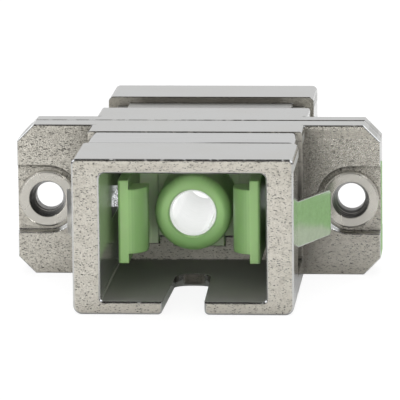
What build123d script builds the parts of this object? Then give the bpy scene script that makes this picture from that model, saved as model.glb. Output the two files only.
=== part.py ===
from build123d import *
import os

os.makedirs("parts", exist_ok=True)

# Sizes in millimetres. The port axis lies along Y, and the two cast halves meet at Y = 0.
# The front port opens towards -Y. Z points up, and the keyway is in the bottom wall.
hole_pitch = 18.0
flange_ear = 1.77
flange_thickness = 1.52
flange_corner_cut = 1.0
flange_edge = 0.1
parting_edge = 0.05
body_width = 12.6
body_height = 8.98
half_length = 13.25
top_corner_radius = 0.32
bottom_corner_radius = 0.52
block_corner_radius = 0.15
mouth_bevel = 0.1

# The port, its keyway and the partition that keeps the insert in.
port_width = 9.45
port_ceiling = 3.65
port_floor = -3.72
port_ceiling_radius = 0.32
port_floor_radius = 0.18
partition_front = 1.1
partition_back = 0.6
window_width = 8.5
keyway_mouth = 2.4
keyway_end = 2.05
keyway_stop = 5.3
keyway_end_radius = 0.8
keyway_edge = 0.28

# The waist is the shallow recess round the top and the sides where the clip sits.
waist_top_depth = 0.42
waist_side_depth = 0.56
waist_shoulder_depth = 0.62
waist_shoulder_start = 5.0
waist_bottom = -3.1
waist_leg_top = 3.6
front_block_depth = 3.9
front_waist_top_end = 7.9
front_waist_side_end = 9.1
rear_block_depth = 4.6
rear_waist_end = 8.8

# A narrow slot goes through each side wall behind the clip's wing.
slot_near = 2.1
slot_far = 6.0
slot_bottom = -0.35
slot_top = 0.9

# Rivets and the U-shaped pockets that take their heads.
rivet_neck_radius = 0.83
rivet_neck_length = 0.9
rivet_mouth_radius = 1.09
rivet_tube_radius = 1.25
rivet_head_radius = 1.68
rivet_head_bevel = 0.1
pocket_half_width = 1.9
pocket_depth = 0.4
pocket_draft = 20.0

# The moulded insert. Its arms run forward beside the port axis.
base_width = 9.8
base_height = 6.5
base_corner_radius = 0.45
tube_radius = 2.25
tube_length = 6.0
tube_rim_radius = 0.6
tube_lip_radius = 1.34
tube_lip_flare = 0.1
arm_inner = 3.5
arm_outer = 4.1
arm_half_height = 2.42
arm_length = 8.7
arm_edge = 0.16
arm_root_inner = 2.4
arm_root_half_height = 2.66
root_length = 1.4
foot_half_width = 1.5
foot_bottom = -2.8
hook_reach = 2.5
hook_length = 2.2
hook_half_height = 1.88
hook_ramp = 1.5
hook_nose_radius = 1.3

# The split ceramic sleeve for a 2.5 mm ferrule.
sleeve_bore_radius = 1.25
sleeve_outer_radius = 1.6
sleeve_length = 11.4
sleeve_lead_in = 0.1
sleeve_slit = 0.35
sleeve_slit_angle = -38.0

# The spring clip is one strip of sheet with a wing cut out of each leg.
clip_thickness = 0.36
clip_bend_radius = 0.42
clip_web_front = 7.82
clip_leg_front = 9.04
clip_back = 4.0
clip_leg_bottom = -2.95
wing_top = 1.17
wing_bottom = -1.5
wing_length = 4.68
wing_root = 8.75
wing_cut_start = 8.55
wing_cut_gap = 0.12
wing_corner_radius = 0.25
clip_corner_radius = 0.35
wing_angle_right = 23.4
wing_angle_left = 17.6

# Clearances between the pieces, and how far a cut runs past the metal it opens.
seat_clearance = 0.02
slide_clearance = 0.05
overcut = 1.0

body_top = body_height / 2
body_side = body_width / 2
hole_offset = hole_pitch / 2
flange_width = hole_pitch + 2 * flange_ear
facing_front = Plane.XZ
facing_rear = Plane(origin=(0, 0, 0), x_dir=(-1, 0, 0), z_dir=(0, 1, 0))
clip_side = body_side - waist_side_depth + seat_clearance + clip_thickness
clip_top = body_top - waist_top_depth + seat_clearance + clip_thickness
slot_span = 2 * (body_side - waist_side_depth + slide_clearance)
pocket_floor = flange_thickness - pocket_depth
rivet_end = flange_thickness - seat_clearance
rivet_flare_depth = rivet_end - rivet_neck_length / 2
window_height = 2 * (tube_radius + slide_clearance)
arm_root_width = window_width / 2 - arm_root_inner
arm_root_centre = (window_width / 2 + arm_root_inner) / 2

# Both castings come from one form: flange plate, body, port, keyway and rivet seats. Here it faces -Y.
with BuildPart() as casting_form:
    with BuildSketch(facing_front):
        Rectangle(flange_width, body_height)
        chamfer(vertices(), flange_corner_cut)
    extrude(amount=flange_thickness)
    fillet(casting_form.faces().sort_by(Axis.Y)[0].edges(), flange_edge)
    with BuildSketch(facing_front):
        Rectangle(body_width, body_height)
        fillet(vertices().group_by(Axis.Y)[-1], top_corner_radius)
        fillet(vertices().group_by(Axis.Y)[0], bottom_corner_radius)
    extrude(amount=half_length)
    fillet(casting_form.faces().sort_by(Axis.Y)[-1].edges(), parting_edge)
    # The block between the flange and the waist has sharper top corners than the collar.
    with BuildSketch(facing_front.offset(flange_thickness)):
        Rectangle(body_width, body_height)
        fillet(vertices().group_by(Axis.Y)[-1], block_corner_radius)
        fillet(vertices().group_by(Axis.Y)[0], bottom_corner_radius)
    extrude(amount=rear_block_depth - flange_thickness)
    # The port is open at its mouth and ends at the partition.
    with BuildSketch(facing_front.offset(partition_front)):
        with Locations((0, (port_ceiling + port_floor) / 2)):
            Rectangle(port_width, port_ceiling - port_floor)
        fillet(vertices().group_by(Axis.Y)[-1], port_ceiling_radius)
        fillet(vertices().group_by(Axis.Y)[0], port_floor_radius)
    extrude(amount=half_length, mode=Mode.SUBTRACT)
    # The partition's window is taller where the arms' roots pass and lower where the foot passes.
    with BuildSketch(facing_front):
        Rectangle(window_width, window_height)
        with Locations((-arm_root_centre, 0), (arm_root_centre, 0)):
            Rectangle(arm_root_width + 2 * slide_clearance, 2 * (arm_root_half_height + slide_clearance))
        Rectangle(
            2 * (foot_half_width + slide_clearance),
            slide_clearance - foot_bottom,
            align=(Align.CENTER, Align.MAX),
        )
    extrude(amount=partition_front, mode=Mode.SUBTRACT)
    with BuildSketch(facing_front):
        RectangleRounded(
            base_width + 2 * slide_clearance,
            base_height + 2 * slide_clearance,
            base_corner_radius + slide_clearance,
        )
    extrude(amount=partition_back, mode=Mode.SUBTRACT)
    # The keyway narrows slightly from the mouth. Its inner end and its lower edges are rounded.
    with BuildSketch(Plane.XY.offset(-body_top - overcut)):
        with BuildLine():
            Polyline(
                (-keyway_mouth / 2, -half_length - overcut),
                (keyway_mouth / 2, -half_length - overcut),
                (keyway_mouth / 2, -half_length),
                (keyway_end / 2, -keyway_stop),
                (-keyway_end / 2, -keyway_stop),
                (-keyway_mouth / 2, -half_length),
                close=True,
            )
        make_face()
        fillet(vertices().group_by(Axis.Y)[-1], keyway_end_radius)
    extrude(amount=body_top + port_floor + 2 * overcut, mode=Mode.SUBTRACT)
    bottom_edges = casting_form.edges().group_by(Axis.Z)[0]
    keyway_edges = bottom_edges.filter_by_position(Axis.Y, -half_length, -keyway_stop)
    # The rounding of the keyway's lower edges takes at most half of the bottom wall.
    keyway_rounding = min(keyway_edge, (body_top + port_floor) / 2)
    fillet(keyway_edges.filter_by_position(Axis.X, -keyway_mouth / 2, keyway_mouth / 2), keyway_rounding)
    # One cut across the port makes the slot in each side wall.
    with BuildSketch(facing_front.offset(slot_near)):
        with Locations((0, slot_bottom)):
            Rectangle(slot_span, slot_top - slot_bottom, align=(Align.CENTER, Align.MIN))
    extrude(amount=slot_far - slot_near, mode=Mode.SUBTRACT)
    # Holes for the rivets, and the pockets for their heads, which are open at the flange's ends.
    with BuildSketch(facing_front):
        with Locations((-hole_offset, 0), (hole_offset, 0)):
            Circle(rivet_tube_radius + seat_clearance)
    extrude(amount=flange_thickness, mode=Mode.SUBTRACT)
    with BuildSketch(facing_front.offset(pocket_floor)):
        for side in (-1, 1):
            with Locations((side * hole_offset, 0)):
                Circle(pocket_half_width)
            with Locations((side * (hole_offset + (flange_ear + overcut) / 2), 0)):
                Rectangle(flange_ear + overcut, 2 * pocket_half_width)
    extrude(amount=pocket_depth, taper=-pocket_draft, mode=Mode.SUBTRACT)
    # The mouth's inner and outer edges are bevelled.
    chamfer(casting_form.faces().sort_by(Axis.Y)[0].edges(), mouth_bevel)

# Front casting: the form with the clip's recess over the top and down both sides.
with BuildPart() as front_housing:
    add(casting_form.part)
    with BuildSketch(facing_front.offset(front_block_depth)):
        with Locations((0, body_top)):
            Rectangle(body_width + overcut, 2 * waist_top_depth)
        with Locations((-body_side, body_top), (body_side, body_top)):
            Rectangle(2 * (body_side - waist_shoulder_start), 2 * waist_shoulder_depth)
        with Locations((-body_side, waist_leg_top), (body_side, waist_leg_top)):
            Rectangle(2 * waist_side_depth, body_top - waist_leg_top, align=(Align.CENTER, Align.MIN))
    extrude(amount=front_waist_top_end - front_block_depth, mode=Mode.SUBTRACT)
    with BuildSketch(facing_front.offset(front_block_depth)):
        with Locations((-body_side, waist_bottom), (body_side, waist_bottom)):
            Rectangle(2 * waist_side_depth, waist_leg_top - waist_bottom, align=(Align.CENTER, Align.MIN))
    extrude(amount=front_waist_side_end - front_block_depth, mode=Mode.SUBTRACT)

front_housing.part.label = "front_housing"
export_step(front_housing.part, "parts/front_housing.step")

# Rear casting: the form turned round. Its waist stays empty and is one width all the way down.
with BuildPart() as rear_housing:
    add(casting_form.part.rotate(Axis.Z, 180))
    with BuildSketch(facing_rear.offset(rear_block_depth)):
        with Locations((0, body_top)):
            Rectangle(body_width + overcut, 2 * waist_top_depth)
        with Locations((-body_side, body_top), (body_side, body_top)):
            Rectangle(2 * (body_side - waist_shoulder_start), 2 * waist_shoulder_depth)
        with Locations((-body_side, waist_bottom), (body_side, waist_bottom)):
            Rectangle(2 * waist_side_depth, body_top - waist_bottom, align=(Align.CENTER, Align.MIN))
    extrude(amount=rear_waist_end - rear_block_depth, mode=Mode.SUBTRACT)

rear_housing.part.label = "rear_housing"
export_step(rear_housing.part, "parts/rear_housing.step")

# Moulded insert: base plate, sleeve tube, foot and two latch arms with hooks, all in one piece.
with BuildPart() as front_insert:
    # One arm first. Its hook has a rounded ramp, so that a plug can push the arm aside.
    with BuildSketch(facing_front):
        with Locations(((arm_inner + arm_outer) / 2, 0)):
            Rectangle(arm_outer - arm_inner, 2 * arm_half_height)
    extrude(amount=arm_length)
    with BuildSketch(Plane.XY.offset(-hook_half_height)):
        with BuildLine():
            Line((arm_outer, -arm_length), (arm_inner, -arm_length))
            RadiusArc(
                (arm_inner, -arm_length),
                (hook_reach, -arm_length + hook_ramp),
                hook_nose_radius,
            )
            Polyline(
                (hook_reach, -arm_length + hook_ramp),
                (hook_reach, -arm_length + hook_length),
                (arm_outer, -arm_length + hook_length),
                (arm_outer, -arm_length),
            )
        make_face()
    extrude(amount=2 * hook_half_height)
    fillet(front_insert.edges().filter_by(Axis.Z).group_by(Axis.Y)[0].sort_by(Axis.X)[-1], arm_edge)
    with BuildSketch(facing_front):
        with Locations((arm_root_centre, 0)):
            Rectangle(arm_root_width - slide_clearance, 2 * arm_root_half_height)
    extrude(amount=root_length)
    mirror(about=Plane.YZ)
    # The base plate is trapped behind the partition, and the middle and the foot fill its window.
    with BuildSketch(facing_front):
        RectangleRounded(base_width, base_height, base_corner_radius)
    extrude(amount=partition_back - seat_clearance)
    with BuildSketch(facing_front):
        Rectangle(window_width - 2 * slide_clearance, window_height - 2 * slide_clearance)
    extrude(amount=partition_front)
    with BuildSketch(facing_front):
        Rectangle(2 * foot_half_width, -foot_bottom, align=(Align.CENTER, Align.MAX))
    extrude(amount=root_length)
    with BuildSketch(facing_front):
        Circle(tube_radius)
    extrude(amount=tube_length)
    tube_end = front_insert.edges().filter_by(GeomType.CIRCLE).filter_by_position(
        Axis.Y, -tube_length - seat_clearance, -tube_length + seat_clearance
    )
    fillet(tube_end, tube_rim_radius)
    # The tube's bore takes the sleeve, and its conical lip keeps the sleeve in.
    with BuildSketch(facing_front):
        Circle(sleeve_outer_radius + slide_clearance)
    extrude(amount=sleeve_length / 2 + slide_clearance, mode=Mode.SUBTRACT)
    with Locations((0, -sleeve_length / 2, 0)):
        Cone(
            tube_lip_radius,
            tube_lip_radius + tube_lip_flare,
            tube_length - sleeve_length / 2,
            rotation=(90, 0, 0),
            align=(Align.CENTER, Align.CENTER, Align.MIN),
            mode=Mode.SUBTRACT,
        )

front_insert.part.label = "front_insert"
export_step(front_insert.part, "parts/front_insert.step")

# The rear insert is the same moulding turned to face the rear port.
with BuildPart() as rear_insert:
    add(front_insert.part.rotate(Axis.Z, 180))

rear_insert.part.label = "rear_insert"
export_step(rear_insert.part, "parts/rear_insert.step")

# Alignment sleeve: a ceramic tube with one slit along its whole length.
with BuildPart() as alignment_sleeve:
    with BuildSketch(facing_front.offset(-sleeve_length / 2)):
        Circle(sleeve_outer_radius)
        Circle(sleeve_bore_radius, mode=Mode.SUBTRACT)
    extrude(amount=sleeve_length)
    end_circles = alignment_sleeve.edges().filter_by(GeomType.CIRCLE)
    chamfer(end_circles.group_by(SortBy.RADIUS)[0], sleeve_lead_in)
    with BuildSketch(facing_front.offset(-sleeve_length / 2)):
        with Locations(Rotation(0, 0, sleeve_slit_angle)):
            Rectangle(2 * sleeve_outer_radius, sleeve_slit, align=(Align.MIN, Align.CENTER))
    extrude(amount=sleeve_length, mode=Mode.SUBTRACT)

alignment_sleeve.part.label = "alignment_sleeve"
export_step(alignment_sleeve.part, "parts/alignment_sleeve.step")

# Spring clip: the web lies across the top and the legs lie in the side recesses.
with BuildPart() as spring_clip:
    with BuildSketch(facing_front.offset(clip_back)):
        with BuildLine():
            FilletPolyline(
                (-clip_side + clip_thickness / 2, clip_leg_bottom),
                (-clip_side + clip_thickness / 2, clip_top - clip_thickness / 2),
                (clip_side - clip_thickness / 2, clip_top - clip_thickness / 2),
                (clip_side - clip_thickness / 2, clip_leg_bottom),
                radius=clip_bend_radius - clip_thickness / 2,
            )
        trace(line_width=clip_thickness)
    extrude(amount=clip_web_front - clip_back)
    # The legs are wider than the web, and their lower corners are rounded.
    with BuildSketch(facing_front.offset(clip_back)):
        with Locations((-clip_side, clip_leg_bottom), (clip_side - clip_thickness, clip_leg_bottom)):
            Rectangle(clip_thickness, waist_leg_top - slide_clearance - clip_leg_bottom, align=Align.MIN)
    extrude(amount=clip_leg_front - clip_back)
    fillet(spring_clip.edges().filter_by(Axis.X).group_by(Axis.Z)[0], clip_corner_radius)
    # The cut that frees each wing is open at the leg's back edge.
    with BuildSketch(facing_front.offset(clip_back - overcut)):
        with Locations((-clip_side, wing_bottom - wing_cut_gap), (clip_side, wing_bottom - wing_cut_gap)):
            Rectangle(
                2 * (clip_thickness + overcut),
                wing_top - wing_bottom + 2 * wing_cut_gap,
                align=(Align.CENTER, Align.MIN),
            )
    extrude(amount=wing_cut_start - clip_back + overcut, mode=Mode.SUBTRACT)
    # Each wing is bent out from the front strip of its leg, the right one a little further.
    for side, angle in ((1, wing_angle_right), (-1, wing_angle_left)):
        along_wing = Vector(0, 1, 0).rotate(Axis.Z, -side * angle)
        wing_face = Vector(1, 0, 0).rotate(Axis.Z, -side * angle)
        with BuildSketch(Plane(origin=(side * clip_side, -wing_root, 0), x_dir=along_wing, z_dir=wing_face)):
            with Locations((0, wing_bottom)):
                Rectangle(wing_length, wing_top - wing_bottom, align=Align.MIN)
            fillet(vertices().group_by(Axis.X)[-1], wing_corner_radius)
        extrude(amount=-side * clip_thickness)

spring_clip.part.label = "spring_clip"
export_step(spring_clip.part, "parts/spring_clip.step")

# Tubular rivets: the heads sit in the flange pockets, and the necks are the mounting holes.
with BuildPart() as left_rivet:
    with BuildSketch(facing_front.offset(-rivet_end)):
        with Locations((-hole_offset, 0)):
            Circle(rivet_tube_radius)
    extrude(amount=2 * rivet_end)
    for facing, across in ((facing_front, -hole_offset), (facing_rear, hole_offset)):
        with BuildSketch(facing.offset(pocket_floor + seat_clearance)):
            with Locations((across, 0)):
                Circle(rivet_head_radius)
        extrude(amount=rivet_end - pocket_floor - seat_clearance)
    chamfer(left_rivet.edges().filter_by(GeomType.CIRCLE).group_by(Axis.Y)[0], rivet_head_bevel)
    chamfer(left_rivet.edges().filter_by(GeomType.CIRCLE).group_by(Axis.Y)[-1], rivet_head_bevel)
    with BuildSketch(facing_front.offset(-rivet_end)):
        with Locations((-hole_offset, 0)):
            Circle(rivet_neck_radius)
    extrude(amount=2 * rivet_end, mode=Mode.SUBTRACT)
    # The throat flares towards both heads.
    for end in (-1, 1):
        with Locations((-hole_offset, end * rivet_neck_length / 2, 0)):
            Cone(
                rivet_neck_radius,
                rivet_mouth_radius,
                rivet_flare_depth,
                rotation=(-end * 90, 0, 0),
                align=(Align.CENTER, Align.CENTER, Align.MIN),
                mode=Mode.SUBTRACT,
            )

left_rivet.part.label = "left_rivet"
export_step(left_rivet.part, "parts/left_rivet.step")

# The right rivet is the same part in the other hole.
with BuildPart() as right_rivet:
    add(left_rivet.part.moved(Location((hole_pitch, 0, 0))))

right_rivet.part.label = "right_rivet"
export_step(right_rivet.part, "parts/right_rivet.step")
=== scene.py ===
import math
import bpy
from mathutils import Matrix, Vector


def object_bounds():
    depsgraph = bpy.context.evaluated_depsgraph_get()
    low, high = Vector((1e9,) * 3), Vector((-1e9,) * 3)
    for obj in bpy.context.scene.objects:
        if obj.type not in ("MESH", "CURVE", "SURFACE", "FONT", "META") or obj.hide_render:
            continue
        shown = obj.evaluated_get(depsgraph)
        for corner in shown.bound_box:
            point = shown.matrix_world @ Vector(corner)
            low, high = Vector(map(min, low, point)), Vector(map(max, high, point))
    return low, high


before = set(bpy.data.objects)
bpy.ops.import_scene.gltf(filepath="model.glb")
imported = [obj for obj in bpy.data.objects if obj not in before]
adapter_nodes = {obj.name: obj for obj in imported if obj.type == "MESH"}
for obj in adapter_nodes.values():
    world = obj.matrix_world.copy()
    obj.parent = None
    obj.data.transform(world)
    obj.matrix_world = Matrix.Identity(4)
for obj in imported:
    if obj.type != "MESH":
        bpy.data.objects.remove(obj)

cad_low, cad_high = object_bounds()

# The two halves of the housing are zinc castings plated with bright nickel.
# Their front and back faces keep the grain and pits of the mould, and the long sides come out smoother.
# Two rivets hold them face to face through the flanges.
housing_front_tint = (0.80, 0.765, 0.685)
housing_side_tint = (0.69, 0.695, 0.685)
housing_worn_tint = (0.62, 0.59, 0.53)
housing_speck_and_shade_tint = (0.36, 0.33, 0.27)
housing_pit_tint = (0.10, 0.095, 0.085)
housing_painted_shade_tint = (0.13, 0.12, 0.10)
housing_painted_edge_tint = (0.05, 0.048, 0.045)
housing_film_tint = (0.24, 0.225, 0.215)
housing_shade_tint = (0.16, 0.165, 0.155)
housing_seam_tint = (0.09, 0.08, 0.065)
housing_glint_tint = (0.92, 0.94, 0.96)
housing_edge_radius = 0.00012
housing_relief = 0.00004
pit_slant = 0.4
foot_shade_height = (-0.0046, -0.0034)
flange_half_depth = 0.0018
flange_root = 0.0055
bright_flange_across = (0.0045, 0.0060)
bright_flange_height = (-0.0020, 0.0012)
seam_along = (-0.00004, 0.00030)
seam_patches_across = (-0.003, 0.003)
seam_thick_across = (0.0, 0.005)
keyway_half_width = 0.003
keyway_end_along = (0.0035, 0.0075)
port_half_width = 0.00474
port_floor = -0.00374
port_ceiling = 0.00366
rear_waist_start = 0.004
waist_floor_low = 0.0037
waist_floor_high = 0.0042
waist_shade_across = (0.0040, 0.0050)
slot_low = -0.00036
slot_high = 0.00091
slot_across = (0.00474, 0.0058)
slot_along = (0.0020, 0.0061)
slot_back_end = 0.00212
beside_arm_across = (0.0041, 0.0048)
glint_height = (-0.00055, 0.00075)
glint_across = (0.00425, 0.00464)
glint_along = (0.0010, 0.0012)


def bare_material(name):
    material = bpy.data.materials.new(name)
    material.use_nodes = True
    return material


# A finish is mixed from shader nodes. Most of its functions add a node or a few and hand on their output.
class Finish:
    def __init__(self, tree):
        self.nodes = tree.nodes
        self.links = tree.links

    def feed(self, value, socket):
        if isinstance(value, (int, float)):
            socket.default_value = value
        elif isinstance(value, tuple):
            socket.default_value = (*value, 1.0)
        else:
            self.links.new(value, socket)

    def mould_point(self, stretch=(1.0, 1.0, 1.0), slant=0.0):
        place = self.nodes.new("ShaderNodeTexCoord")
        mapping = self.nodes.new("ShaderNodeMapping")
        mapping.inputs["Scale"].default_value = stretch
        mapping.inputs["Rotation"].default_value = (0.0, slant, 0.0)
        self.links.new(place.outputs["Object"], mapping.inputs["Vector"])
        return mapping.outputs["Vector"]

    def grain(self, point, scale, detail, roughness):
        noise = self.nodes.new("ShaderNodeTexNoise")
        noise.inputs["Scale"].default_value = scale
        noise.inputs["Detail"].default_value = detail
        noise.inputs["Roughness"].default_value = roughness
        self.links.new(point, noise.inputs["Vector"])
        return noise.outputs["Fac"]

    def between(self, value, low, high, to_low, to_high):
        span = self.nodes.new("ShaderNodeMapRange")
        span.interpolation_type = "SMOOTHSTEP"
        span.inputs["From Min"].default_value = low
        span.inputs["From Max"].default_value = high
        span.inputs["To Min"].default_value = to_low
        span.inputs["To Max"].default_value = to_high
        self.links.new(value, span.inputs["Value"])
        return span.outputs["Result"]

    def combine(self, operation, first, second=0.0):
        math_node = self.nodes.new("ShaderNodeMath")
        math_node.operation = operation
        self.feed(first, math_node.inputs[0])
        self.feed(second, math_node.inputs[1])
        return math_node.outputs["Value"]

    def absolute(self, value):
        return self.combine("ABSOLUTE", value)

    def over(self, value, limit):
        return self.combine("GREATER_THAN", value, limit)

    def under(self, value, limit):
        return self.combine("LESS_THAN", value, limit)

    def within(self, value, low, high):
        return self.combine("MULTIPLY", self.over(value, low), self.under(value, high))

    def product(self, first, *others):
        result = first
        for other in others:
            result = self.combine("MULTIPLY", result, other)
        return result

    def most(self, first, *others):
        result = first
        for other in others:
            result = self.combine("MAXIMUM", result, other)
        return result

    def split(self, vector):
        apart = self.nodes.new("ShaderNodeSeparateXYZ")
        self.links.new(vector, apart.inputs["Vector"])
        return apart.outputs

    def surface(self, output):
        geometry = self.nodes.new("ShaderNodeNewGeometry")
        return self.split(geometry.outputs[output])

    def tinted(self, factor, first, second):
        mix = self.nodes.new("ShaderNodeMix")
        mix.data_type = "RGBA"
        self.links.new(factor, mix.inputs["Factor"])
        self.feed(first, mix.inputs["A"])
        self.feed(second, mix.inputs["B"])
        return mix.outputs["Result"]

    def soft_edges(self, edge_radius):
        edges = self.nodes.new("ShaderNodeBevel")
        edges.samples = 6
        edges.inputs["Radius"].default_value = edge_radius
        return edges.outputs["Normal"]

    def relief(self, shader, height, depth, strength, edge_normal):
        bump = self.nodes.new("ShaderNodeBump")
        bump.inputs["Distance"].default_value = depth
        bump.inputs["Strength"].default_value = strength
        self.links.new(height, bump.inputs["Height"])
        self.links.new(edge_normal, bump.inputs["Normal"])
        self.links.new(bump.outputs["Normal"], shader.inputs["Normal"])

    # Gives a mask for painted shade, strongest where nearby parts of the same object shelter the surface.
    def painted_recess_shade(self, reach, low, high):
        shelter = self.nodes.new("ShaderNodeAmbientOcclusion")
        shelter.samples = 8
        shelter.only_local = True
        shelter.inputs["Distance"].default_value = reach
        return self.between(shelter.outputs["AO"], low, high, 1.0, 0.0)


# The castings' finish also knows the places on them. Each of its functions is one trait of their surface.
class CastFinish(Finish):
    def __init__(self, tree):
        super().__init__(tree)
        self.point = self.mould_point()
        self.place = self.surface("Position")
        self.turned = self.surface("True Normal")
        self.across = self.absolute(self.place["X"])
        self.along = self.absolute(self.place["Y"])
        self.in_port = self.product(self.under(self.across, port_half_width),
                                    self.within(self.place["Z"], port_floor, port_ceiling))
        self.in_slot = self.product(self.within(self.place["Z"], slot_low, slot_high),
                                    self.within(self.across, *slot_across),
                                    self.within(self.along, *slot_along))
        self.on_flange = self.product(self.under(self.along, flange_half_depth),
                                      self.over(self.across, flange_root))
        # The mould's grain shows on faces that look along the port axis.
        self.along_port = self.absolute(self.turned["Y"])
        self.cast_face = self.between(self.along_port, 0.80, 0.97, 0.0, 1.0)

    def pits(self):
        # The flanges took the mould's grain coarser than the ends of the body did.
        pit_field = self.grain(self.mould_point((0.6, 1.0, 1.5), pit_slant), 12500.0, 3.0, 0.5)
        fine_pits = self.between(pit_field, 0.60, 0.67, 0.0, 0.9)
        streak_field = self.grain(self.mould_point((0.55, 1.0, 1.5), pit_slant), 9500.0, 4.0, 0.55)
        streaks = self.product(self.between(streak_field, 0.61, 0.67, 0.0, 0.85), self.on_flange)
        return self.product(self.most(fine_pits, streaks), self.cast_face)

    def skin(self, leather, pits):
        plated = self.tinted(self.cast_face, housing_side_tint, housing_front_tint)
        broad = self.grain(self.point, 330.0, 3.0, 0.5)
        worn = self.tinted(self.between(broad, 0.30, 0.70, 0.0, 0.25), plated, housing_worn_tint)
        speck = self.product(self.between(leather, 0.40, 0.72, 0.0, 0.33), self.cast_face)
        # The cast faces are painted a little darker toward the foot, as shade near the table.
        foot_shade = self.product(self.between(self.place["Z"], *foot_shade_height, 0.30, 0.0), self.cast_face)
        speckled_and_shaded = self.tinted(self.most(speck, foot_shade), worn, housing_speck_and_shade_tint)
        return self.tinted(pits, speckled_and_shaded, housing_pit_tint)

    def painted_shade(self):
        # Shade is painted darker where two faces meet, but not inside the port. It is also painted on the
        # upper cast faces of the rear half, at the end of the keyway and thinly on the partition.
        outside = self.between(self.in_port, 0.0, 1.0, 0.75, 0.0)
        recess_shade = self.product(self.painted_recess_shade(0.0025, 0.45, 0.95), self.cast_face, outside)
        waist_back = self.product(self.cast_face, self.over(self.place["Y"], rear_waist_start),
                                  self.over(self.place["Z"], waist_floor_low))
        waist_shade = self.product(waist_back, self.between(self.across, *waist_shade_across, 0.88, 0.35))
        keyway_end = self.product(self.cast_face, self.under(self.place["Z"], port_floor),
                                  self.under(self.across, keyway_half_width),
                                  self.within(self.along, *keyway_end_along))
        partition_shade = self.product(self.in_port, self.cast_face, 0.20)
        return self.most(recess_shade, waist_shade, self.product(keyway_end, 0.85), partition_shade)

    def painted_edge_lines(self, edge_turn):
        # Upper edges get a thin dark line painted into the colour, a painted reflection of the dark end
        # of the room, broken by a few bright grains.
        return self.product(
            self.between(edge_turn["Z"], 0.06, 0.25, 0.0, 1.0),
            self.between(edge_turn["Z"], 0.75, 0.93, 1.0, 0.0),
            self.between(self.grain(self.point, 3200.0, 2.0, 0.5), 0.60, 0.68, 1.0, 0.0),
            self.between(self.along_port, 0.50, 0.70, 0.0, 0.95),
        )

    def painted_corner_glints(self, edge_turn):
        # The upper corners of the plated castings get painted glints, small highlights that glow.
        return self.product(
            self.between(self.absolute(edge_turn["X"]), 0.28, 0.42, 0.0, 1.0),
            self.between(edge_turn["Z"], 0.28, 0.42, 0.0, 1.0),
            self.over(self.across, keyway_half_width),
            self.between(edge_turn["Y"], -0.42, -0.28, 1.0, 0.0),
        )

    def seam(self):
        # Dirt has settled in the seam between the halves, in broken patches and thicker toward the right.
        seam_field = self.grain(self.mould_point((1.0, 0.3, 0.3)), 1500.0, 2.0, 0.5)
        patches = self.product(self.between(seam_field, 0.40, 0.52, 0.4, 1.0),
                               self.between(self.place["X"], *seam_patches_across, 0.5, 1.0))
        thick_end = self.between(self.place["X"], *seam_thick_across, 0.0, 0.9)
        return self.product(self.within(self.place["Y"], *seam_along),
                            self.between(self.turned["Z"], 0.5, 0.9, 0.0, 1.0),
                            self.most(patches, thick_end))

    def bright_flange(self):
        # The plating is brighter on the right flange, most of all on its upper half, so its grain glitters.
        return self.product(self.on_flange,
                            self.between(self.place["X"], *bright_flange_across, 0.0, 1.0),
                            self.between(self.place["Z"], *bright_flange_height, 0.35, 1.0))

    def painted_grain_glints(self):
        # Painted glints glow on grains beside the roots of the arms and at the back of the slots, as side
        # light.
        beside_root = self.product(self.within(self.place["Z"], *glint_height),
                                   self.within(self.across, *glint_across),
                                   self.within(self.along, *glint_along))
        slot_back = self.product(self.in_slot, self.under(self.along, slot_back_end))
        sparkle = self.between(self.grain(self.point, 11000.0, 2.0, 0.8), 0.38, 0.62, 0.05, 1.0)
        return self.product(self.most(beside_root, slot_back), self.cast_face, sparkle)


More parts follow.
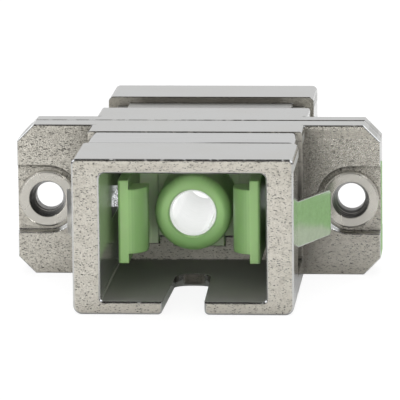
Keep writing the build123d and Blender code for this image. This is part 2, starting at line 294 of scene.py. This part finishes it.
def cast_nickel():
    material = bare_material("cast_nickel")
    finish = CastFinish(material.node_tree)
    shader = finish.nodes["Principled BSDF"]
    fine = finish.grain(finish.point, 9000.0, 3.0, 0.6)
    leather = finish.grain(finish.mould_point((0.8, 1.0, 1.25)), 3800.0, 4.0, 0.65)
    pits = finish.pits()
    edge_normal = finish.soft_edges(housing_edge_radius)
    edge_turn = finish.split(edge_normal)
    seam = finish.seam()
    bright_flange = finish.bright_flange()
    # Painted shade is mixed into the colour here.
    shade_painted = finish.tinted(finish.painted_shade(), finish.skin(leather, pits), housing_painted_shade_tint)
    # The painted dark edge lines are mixed in here.
    edge_lines_painted = finish.tinted(finish.painted_edge_lines(edge_turn), shade_painted, housing_painted_edge_tint)
    # A dull film lies on the floor of the port. The side slots and the strip beside each arm are painted
    # dark as shade.
    port_wall = finish.product(finish.in_port, finish.between(finish.cast_face, 0.0, 1.0, 1.0, 0.0))
    floor_film = finish.product(port_wall, finish.between(finish.turned["Z"], 0.5, 0.9, 0.0, 0.75))
    filmed = finish.tinted(floor_film, edge_lines_painted, housing_film_tint)
    beside_arm = finish.product(finish.cast_face, finish.within(finish.across, *beside_arm_across),
                                finish.in_port)
    shadowed = finish.tinted(finish.most(finish.in_slot, beside_arm), filmed, housing_shade_tint)
    finish.feed(finish.tinted(seam, shadowed, housing_seam_tint), shader.inputs["Base Color"])
    finish.feed(finish.between(finish.in_port, 0.0, 1.0, 1.0, 0.76), shader.inputs["Metallic"])
    # The floor of each waist and of the port is left as cast, and so it mirrors less.
    waist_floor = finish.within(finish.place["Z"], waist_floor_low, waist_floor_high)
    dull_places = finish.most(finish.product(waist_floor, 0.5), floor_film,
                              finish.product(finish.in_slot, 0.8), seam)
    face_roughness = finish.combine("SUBTRACT", finish.between(finish.cast_face, 0.0, 1.0, 0.08, 0.40),
                                    finish.product(bright_flange, finish.cast_face, 0.16))
    plain_roughness = finish.combine("ADD", face_roughness, finish.product(fine, 0.06))
    finish.feed(finish.most(plain_roughness, dull_places), shader.inputs["Roughness"])
    skin_height = finish.combine("ADD", finish.product(leather, 0.6), fine)
    grained = finish.product(
        finish.combine("SUBTRACT", skin_height, pits),
        finish.between(finish.cast_face, 0.0, 1.0, 0.03, 1.0),
        finish.between(finish.on_flange, 0.0, 1.0, 1.0, 1.7),
        finish.between(bright_flange, 0.0, 1.0, 1.0, 1.25),
    )
    finish.relief(shader, grained, housing_relief, 0.9, edge_normal)
    glints = finish.most(finish.painted_grain_glints(), finish.painted_corner_glints(edge_turn))
    finish.feed(glints, shader.inputs["Emission Strength"])
    finish.feed(housing_glint_tint, shader.inputs["Emission Color"])
    return material


def dress(names, material):
    for name in names:
        adapter_nodes[name].data.materials.clear()
        adapter_nodes[name].data.materials.append(material)


dress(("front_housing", "rear_housing"), cast_nickel())

# The two latch inserts are one moulding used twice, in green nylon with a satin skin.
# Each is trapped by its base plate between the castings, and light glows a little way into the plastic.
insert_green = (0.35, 0.555, 0.235)
insert_shadow_green = (0.305, 0.50, 0.20)
insert_sheltered_shade_green = (0.22, 0.38, 0.15)
insert_ramp_shade_green = (0.15, 0.29, 0.095)
insert_plate_light_green = (0.58, 0.68, 0.47)
insert_glow_green = (0.60, 0.90, 0.40)
insert_edge_radius = 0.00014
insert_relief = 0.000012
arm_outer_side = 0.00405
arm_root_end = 0.0022
tube_reach = 0.0028
rim_shade_height = (-0.0028, 0.0010)
plate_reach = 0.003


def green_nylon():
    material = bare_material("green_nylon")
    finish = Finish(material.node_tree)
    shader = finish.nodes["Principled BSDF"]
    point = finish.mould_point()
    flow = finish.grain(point, 260.0, 3.0, 0.5)
    skin = finish.grain(point, 6500.0, 3.0, 0.6)
    place = finish.surface("Position")
    turned = finish.surface("True Normal")
    sideways = finish.absolute(turned["X"])
    along_port = finish.between(finish.absolute(turned["Y"]), 0.3, 0.8, 0.0, 1.0)
    depth = finish.absolute(place["Y"])
    clouded = finish.tinted(finish.between(flow, 0.30, 0.70, 0.0, 0.6), insert_green, insert_shadow_green)
    # Painted shade: a darker green in the corners that the arms and the tube shelter.
    sheltered_shade = finish.product(finish.painted_recess_shade(0.003, 0.30, 0.95), 0.25)
    sheltered_shaded = finish.tinted(sheltered_shade, clouded, insert_sheltered_shade_green)
    # Painted shade: the ramps of the hooks, as they turn inward, get a deeper green, and so does the lower
    # half of the tube's rim.
    ramp_shade = finish.between(sideways, 0.05, 0.55, 0.0, 0.60)
    rim_shade = finish.product(finish.between(place["Z"], *rim_shade_height, 1.0, 0.0),
                         finish.under(finish.absolute(place["X"]), tube_reach), along_port)
    ramp_and_rim_shaded = finish.tinted(finish.most(ramp_shade, rim_shade), sheltered_shaded, insert_ramp_shade_green)
    # Painted light: the base plate behind the tube is tinted paler, as light reflected onto it.
    plate_light = finish.product(finish.under(depth, plate_reach), along_port, 0.65)
    finish.feed(finish.tinted(plate_light, ramp_and_rim_shaded, insert_plate_light_green), shader.inputs["Base Color"])
    finish.feed(finish.between(skin, 0.30, 0.70, 0.34, 0.46), shader.inputs["Roughness"])
    shader.inputs["Subsurface Weight"].default_value = 0.4
    shader.inputs["Subsurface Radius"].default_value = (0.6, 1.0, 0.4)
    shader.inputs["Subsurface Scale"].default_value = 0.0008
    shader.inputs["IOR"].default_value = 1.5
    # Light that comes in past the left wing is painted as a faint glow on the outer sides of the left arms.
    glow = finish.product(finish.between(sideways, 0.8, 0.95, 0.0, 0.19),
                          finish.under(place["X"], -arm_outer_side), finish.over(depth, arm_root_end))
    finish.feed(glow, shader.inputs["Emission Strength"])
    finish.feed(insert_glow_green, shader.inputs["Emission Color"])
    finish.relief(shader, skin, insert_relief, 0.5, finish.soft_edges(insert_edge_radius))
    return material


dress(("front_insert", "rear_insert"), green_nylon())

# The alignment sleeve is a ground zirconia tube with one slit along it, white and glossy.
# It floats in the two tubes of the inserts and lines up the ends of the ferrules.
sleeve_white = (0.86, 0.865, 0.86)
sleeve_ring_white = (0.80, 0.81, 0.80)
sleeve_glow_white = (1.0, 1.0, 1.0)
sleeve_edge_radius = 0.00003
sleeve_relief = 0.000004


def ground_zirconia():
    material = bare_material("ground_zirconia")
    finish = Finish(material.node_tree)
    shader = finish.nodes["Principled BSDF"]
    rings = finish.grain(finish.mould_point((1.0, 6.0, 1.0)), 900.0, 2.0, 0.5)
    tone = finish.between(rings, 0.30, 0.70, 0.0, 1.0)
    finish.feed(finish.tinted(tone, sleeve_white, sleeve_ring_white), shader.inputs["Base Color"])
    finish.feed(finish.between(rings, 0.30, 0.70, 0.03, 0.07), shader.inputs["Roughness"])
    shader.inputs["IOR"].default_value = 2.2
    shader.inputs["Subsurface Weight"].default_value = 0.3
    shader.inputs["Subsurface Radius"].default_value = (1.0, 1.0, 1.0)
    shader.inputs["Subsurface Scale"].default_value = 0.0008
    # A faint glow is painted on the ceramic for the light that comes through it from the other end of the
    # tube.
    finish.feed(sleeve_glow_white, shader.inputs["Emission Color"])
    finish.feed(0.2, shader.inputs["Emission Strength"])
    finish.relief(shader, rings, sleeve_relief, 0.4, finish.soft_edges(sleeve_edge_radius))
    return material


dress(("alignment_sleeve",), ground_zirconia())

# The spring clip is stamped and folded from polished stainless strip.
# It snaps over the waist of the front casting, and its two wings grip behind the panel.
clip_steel = (0.74, 0.745, 0.74)
clip_rolled_steel = (0.68, 0.685, 0.685)
clip_edge_shade_tint = (0.08, 0.075, 0.065)
clip_edge_radius = 0.00006
clip_relief = 0.000003
clip_front_edge_along = (-0.0079, -0.0074)
clip_front_edge_height = (0.004, 0.005)
clip_front_edge_across = (-0.0005, 0.003)
left_wing_across = (-0.0068, -0.0062)


def polished_strip():
    material = bare_material("polished_strip")
    finish = Finish(material.node_tree)
    shader = finish.nodes["Principled BSDF"]
    rolling = finish.grain(finish.mould_point((1.0, 14.0, 14.0)), 260.0, 3.0, 0.55)
    smudge = finish.grain(finish.mould_point(), 380.0, 2.0, 0.5)
    place = finish.surface("Position")
    tone = finish.between(rolling, 0.25, 0.75, 0.0, 1.0)
    rolled = finish.tinted(tone, clip_steel, clip_rolled_steel)
    # A painted shadow: a dark line along the front edge of the web, in the gap before the collar, darker
    # toward the right.
    front_edge_shade = finish.product(finish.within(place["Y"], *clip_front_edge_along),
                             finish.within(place["Z"], *clip_front_edge_height),
                             finish.between(place["X"], *clip_front_edge_across, 0.2, 1.0))
    finish.feed(finish.tinted(front_edge_shade, rolled, clip_edge_shade_tint), shader.inputs["Base Color"])
    shader.inputs["Metallic"].default_value = 1.0
    # The left wing is scuffed, so it mirrors less than the right one.
    polish = finish.between(smudge, 0.35, 0.70, 0.07, 0.13)
    scuffed = finish.between(place["X"], *left_wing_across, 0.28, 0.0)
    finish.feed(finish.most(polish, scuffed, front_edge_shade), shader.inputs["Roughness"])
    finish.relief(shader, rolling, clip_relief, 0.3, finish.soft_edges(clip_edge_radius))
    return material


dress(("spring_clip",), polished_strip())

# The rivets are drawn brass tubes with the same nickel plating, rolled over at both ends.
# They clamp the flanges together, and a mounting screw passes through each throat.
rivet_nickel = (0.63, 0.605, 0.55)
rivet_worn_nickel = (0.60, 0.58, 0.53)
rivet_throat_shade_tint = (0.022, 0.020, 0.017)
rivet_edge_radius = 0.00008
rivet_relief = 0.000006
rivet_offset = 0.009
throat_radius = 0.00112


def plated_tube():
    material = bare_material("plated_tube")
    finish = Finish(material.node_tree)
    shader = finish.nodes["Principled BSDF"]
    point = finish.mould_point()
    wear = finish.grain(point, 700.0, 3.0, 0.5)
    skin = finish.grain(point, 5000.0, 2.0, 0.5)
    place = finish.surface("Position")
    turned = finish.surface("True Normal")
    plated = finish.tinted(finish.between(wear, 0.35, 0.70, 0.0, 1.0), rivet_nickel, rivet_worn_nickel)
    # The throat is painted dark as shade, broken by lighter rings painted as highlights.
    from_axis = finish.combine("SUBTRACT", finish.absolute(place["X"]), rivet_offset)
    throat = finish.product(finish.within(from_axis, -throat_radius, throat_radius),
                            finish.within(place["Z"], -throat_radius, throat_radius),
                            finish.between(finish.absolute(turned["Y"]), 0.30, 0.60, 1.0, 0.0))
    highlight_rings = finish.grain(finish.mould_point((0.4, 9.0, 0.4)), 900.0, 2.0, 0.5)
    throat_shade = finish.product(throat, finish.between(highlight_rings, 0.58, 0.66, 0.95, 0.35))
    finish.feed(finish.tinted(throat_shade, plated, rivet_throat_shade_tint), shader.inputs["Base Color"])
    shader.inputs["Metallic"].default_value = 1.0
    finish.feed(finish.between(wear, 0.30, 0.70, 0.22, 0.34), shader.inputs["Roughness"])
    finish.relief(shader, skin, rivet_relief, 0.4, finish.soft_edges(rivet_edge_radius))
    return material


dress(("left_rivet", "right_rivet"), plated_tube())

# The adapter stands keyway down on a white table that runs out to the horizon.
# The table shows white to the camera and keeps a trace of the soft shadow. In the metal it shows white
# too, but fades toward the part, as its contact shadow would make it.
table_reach = 3.0
table_height = cad_low.z
table_white = (0.62, 0.62, 0.62)
glow_white = (1.0, 1.0, 1.0)
table_fade_along = (-0.060, -0.014)


def flat_card(name, corners):
    mesh = bpy.data.meshes.new(name)
    mesh.from_pydata(corners, [], [tuple(range(len(corners)))])
    card = bpy.data.objects.new(name, mesh)
    bpy.context.scene.collection.objects.link(card)
    return card


def glow_of(finish, colour, strength):
    glow = finish.nodes.new("ShaderNodeEmission")
    finish.feed(colour, glow.inputs["Color"])
    finish.feed(strength, glow.inputs["Strength"])
    return glow.outputs["Emission"]


def blended(finish, factor, first, second):
    blend = finish.nodes.new("ShaderNodeMixShader")
    finish.links.new(factor, blend.inputs["Fac"])
    finish.links.new(first, blend.inputs[1])
    finish.links.new(second, blend.inputs[2])
    return blend.outputs["Shader"]


def table_top():
    material = bare_material("table_top")
    finish = Finish(material.node_tree)
    shader = finish.nodes["Principled BSDF"]
    finish.feed(table_white, shader.inputs["Base Color"])
    tone = finish.grain(finish.mould_point(), 40.0, 2.0, 0.5)
    finish.feed(finish.between(tone, 0.30, 0.70, 0.66, 0.74), shader.inputs["Roughness"])
    seen = finish.nodes.new("ShaderNodeLightPath")
    shown = finish.most(seen.outputs["Is Camera Ray"], seen.outputs["Is Transmission Ray"])
    open_table = finish.between(finish.surface("Position")["Y"], *table_fade_along, 0.62, 0.0)
    mirrored = blended(finish, finish.product(seen.outputs["Is Glossy Ray"], open_table),
                       shader.outputs["BSDF"], glow_of(finish, glow_white, 1.0))
    direct = blended(finish, finish.product(shown, 0.8), mirrored, glow_of(finish, glow_white, 1.11))
    finish.feed(direct, finish.nodes["Material Output"].inputs["Surface"])
    return material


table = flat_card("table", [
    (-table_reach, -table_reach, table_height),
    (table_reach, -table_reach, table_height),
    (table_reach, table_reach, table_height),
    (-table_reach, table_reach, table_height),
])
table.data.materials.append(table_top())

# A plain white room lights the adapter softly from all sides.
# It shows full white to the camera, and less than that in the metal.
room = bpy.data.worlds.new("white_room")
bpy.context.scene.world = room
room.use_nodes = True
room_finish = Finish(room.node_tree)
room_light = room_finish.nodes["Background"]
room_seen = room_finish.nodes.new("ShaderNodeLightPath")
room_shown = room_finish.most(room_seen.outputs["Is Camera Ray"], room_seen.outputs["Is Transmission Ray"])
room_direct = room_finish.between(room_shown, 0.0, 1.0, 0.55, 1.0)
room_mirrored = room_finish.product(room_seen.outputs["Is Glossy Ray"], 0.15)
room_finish.feed(glow_white, room_light.inputs["Color"])
room_finish.feed(room_finish.combine("ADD", room_direct, room_mirrored), room_light.inputs["Strength"])

# Five soft lamps hang around the adapter: one overhead, a fill lamp low in front, one at the left and
# two high up, whose glints show in the plating. The overhead and fill lamps don't show in the metal.
adapter_middle = Vector((0.0, 0.0, 0.0))


def soft_lamp(name, width, watts, place):
    lamp = bpy.data.lights.new(name, "AREA")
    lamp.shape = "SQUARE"
    lamp.size = width
    lamp.energy = watts
    holder = bpy.data.objects.new(name, lamp)
    bpy.context.scene.collection.objects.link(holder)
    holder.location = place
    holder.rotation_euler = (adapter_middle - Vector(place)).to_track_quat("-Z", "Y").to_euler()
    return holder


overhead_lamp = soft_lamp("overhead_lamp", 0.5, 3.0, (0.0, 0.12, 0.6))
overhead_lamp.visible_glossy = False
fill_lamp = soft_lamp("fill_lamp", 0.3, 2.3, (0.08, -0.6, 0.10))
fill_lamp.visible_glossy = False
soft_lamp("left_lamp", 0.35, 0.75, (-0.32, -0.62, 0.16))
for side, name in ((-1, "left_glint"), (1, "right_glint")):
    soft_lamp(name, 0.16, 1.2, (side * 0.8, -0.45, 1.1))

# A dim wall stands behind the camera, lighter in its lower part. Only mirrors see it.
# The upper part draws the dark lines along the plated edges, and the lower part keeps the tops from
# turning black when the adapter is seen from behind.
wall_left = -1.2
wall_right = 2.4
wall_foot = (-1.0, -0.02)
wall_middle = (-0.94, 0.5)
wall_head = (-0.7, 2.4)
wall_dim_grey = (0.05, 0.05, 0.048)
wall_pale_grey = (0.28, 0.28, 0.275)


def reflected_card(name, corners, colour):
    card = flat_card(name, corners)
    paint = bare_material(name)
    finish = Finish(paint.node_tree)
    finish.feed(glow_of(finish, colour, 1.0), finish.nodes["Material Output"].inputs["Surface"])
    card.data.materials.append(paint)
    card.visible_camera = False
    card.visible_diffuse = False
    card.visible_shadow = False
    card.visible_transmission = False
    return card


for name, lower, upper, grey in (
    ("dim_wall", wall_middle, wall_head, wall_dim_grey),
    ("low_wall", wall_foot, wall_middle, wall_pale_grey),
):
    reflected_card(name, [
        (wall_left, *lower),
        (wall_right, *lower),
        (wall_right, *upper),
        (wall_left, *upper),
    ], grey)

# Two small green cards stand on the table at the right, where the polished wing and the flange's end
# mirror them. The larger one is paler and mottled toward its foot.
card_green = (0.33, 0.53, 0.25)
card_pale_green = (0.50, 0.58, 0.43)
card_foot = table_height + 0.00005
wing_card_near = (0.0185, 0.0002)
wing_card_far = (0.0157, 0.0037)
wing_card_top = -0.0010
wing_card_pale_height = (-0.0025, -0.0020)
flange_card_near = (0.0116, 0.0034)
flange_card_far = (0.0108, 0.0034)
flange_card_top = 0.0015


def standing_card(name, near, far, top):
    return reflected_card(name, [
        (*near, card_foot),
        (*near, top),
        (*far, top),
        (*far, card_foot),
    ], card_green)


wing_card = standing_card("wing_card", wing_card_near, wing_card_far, wing_card_top)
card_finish = Finish(wing_card.data.materials[0].node_tree)
card_point = card_finish.nodes.new("ShaderNodeTexCoord").outputs["Object"]
card_place = card_finish.split(card_point)
card_mottle = card_finish.product(card_finish.grain(card_point, 1500.0, 3.0, 0.6), 0.0011)
card_slope = card_finish.product(card_place["Y"], 0.15)
card_rise = card_finish.combine("ADD", card_place["Z"], card_slope)
card_edge = card_finish.combine("ADD", card_rise, card_mottle)
card_tone = card_finish.between(card_edge, *wing_card_pale_height, 0.0, 1.0)
card_finish.feed(card_finish.tinted(card_tone, card_pale_green, card_green),
                 card_finish.nodes["Emission"].inputs["Color"])
standing_card("flange_card", flange_card_near, flange_card_far, flange_card_top)

# The camera stands where the photograph was taken from: a long lens, a little above and to the right.
# Its roll is the small tilt of the photograph.
photo_azimuth = math.radians(4.543)
photo_elevation = math.radians(10.521)
photo_roll = math.radians(0.583)
photo_distance = 0.263823
photo_lens = 398.7
photo_target = Vector((-0.00004, 0.0, -0.000311))
toward_camera = Vector((
    math.sin(photo_azimuth) * math.cos(photo_elevation),
    -math.cos(photo_azimuth) * math.cos(photo_elevation),
    math.sin(photo_elevation),
))
level_right = Vector((math.cos(photo_azimuth), math.sin(photo_azimuth), 0.0))
level_up = toward_camera.cross(level_right)
camera_right = level_right * math.cos(photo_roll) - level_up * math.sin(photo_roll)
camera_up = level_right * math.sin(photo_roll) + level_up * math.cos(photo_roll)
lens = bpy.data.cameras.new("photo_camera")
lens.lens = photo_lens
lens.sensor_width = 36.0
lens.clip_start = 0.01
lens.clip_end = 20.0
camera = bpy.data.objects.new("photo_camera", lens)
bpy.context.scene.collection.objects.link(camera)
camera.matrix_world = (
    Matrix.Translation(photo_target + toward_camera * photo_distance)
    @ Matrix((camera_right, camera_up, toward_camera)).transposed().to_4x4()
)
bpy.context.scene.camera = camera
bpy.context.scene.view_settings.view_transform = "Standard"
